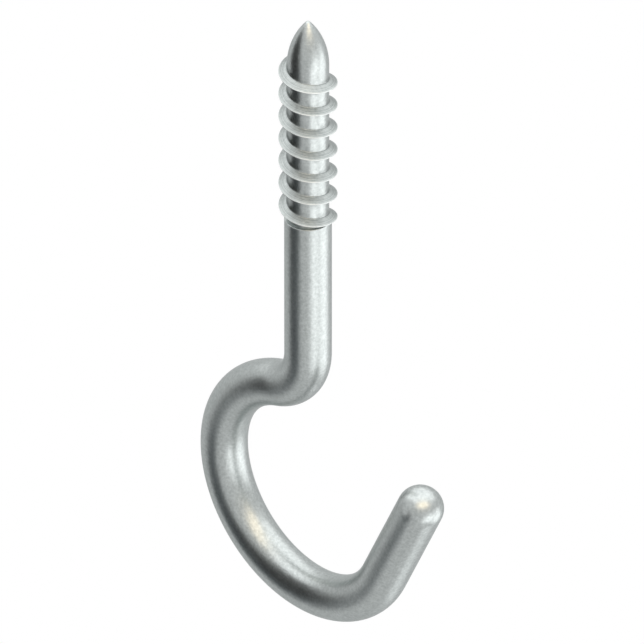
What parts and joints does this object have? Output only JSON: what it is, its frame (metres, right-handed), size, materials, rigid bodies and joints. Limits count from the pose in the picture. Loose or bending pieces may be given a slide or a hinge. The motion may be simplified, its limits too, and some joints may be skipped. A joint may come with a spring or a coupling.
{
  "type": "screw hook",
  "caption": "Screw hook bent from round wire: a pointed wood-screw thread, a plain shank, a neck bend and an open round hook whose leaning arm ends in a full round.",
  "frame": {"origin": "on the screw's axis at the shank's shoulder, where the thread ends and the ceiling's surface lies once the hook is driven home", "axes": "+Z along the screw's axis towards its point, +X in the hook's plane towards its open side, +Y across the hook's plane"},
  "size_m": [0.0273, 0.005, 0.06],
  "materials": {
    "zinc_plated_steel": "satin"
  },
  "bodies": {
    "root": {"screw_hook": "zinc_plated_steel"}
  },
  "joints": []
}
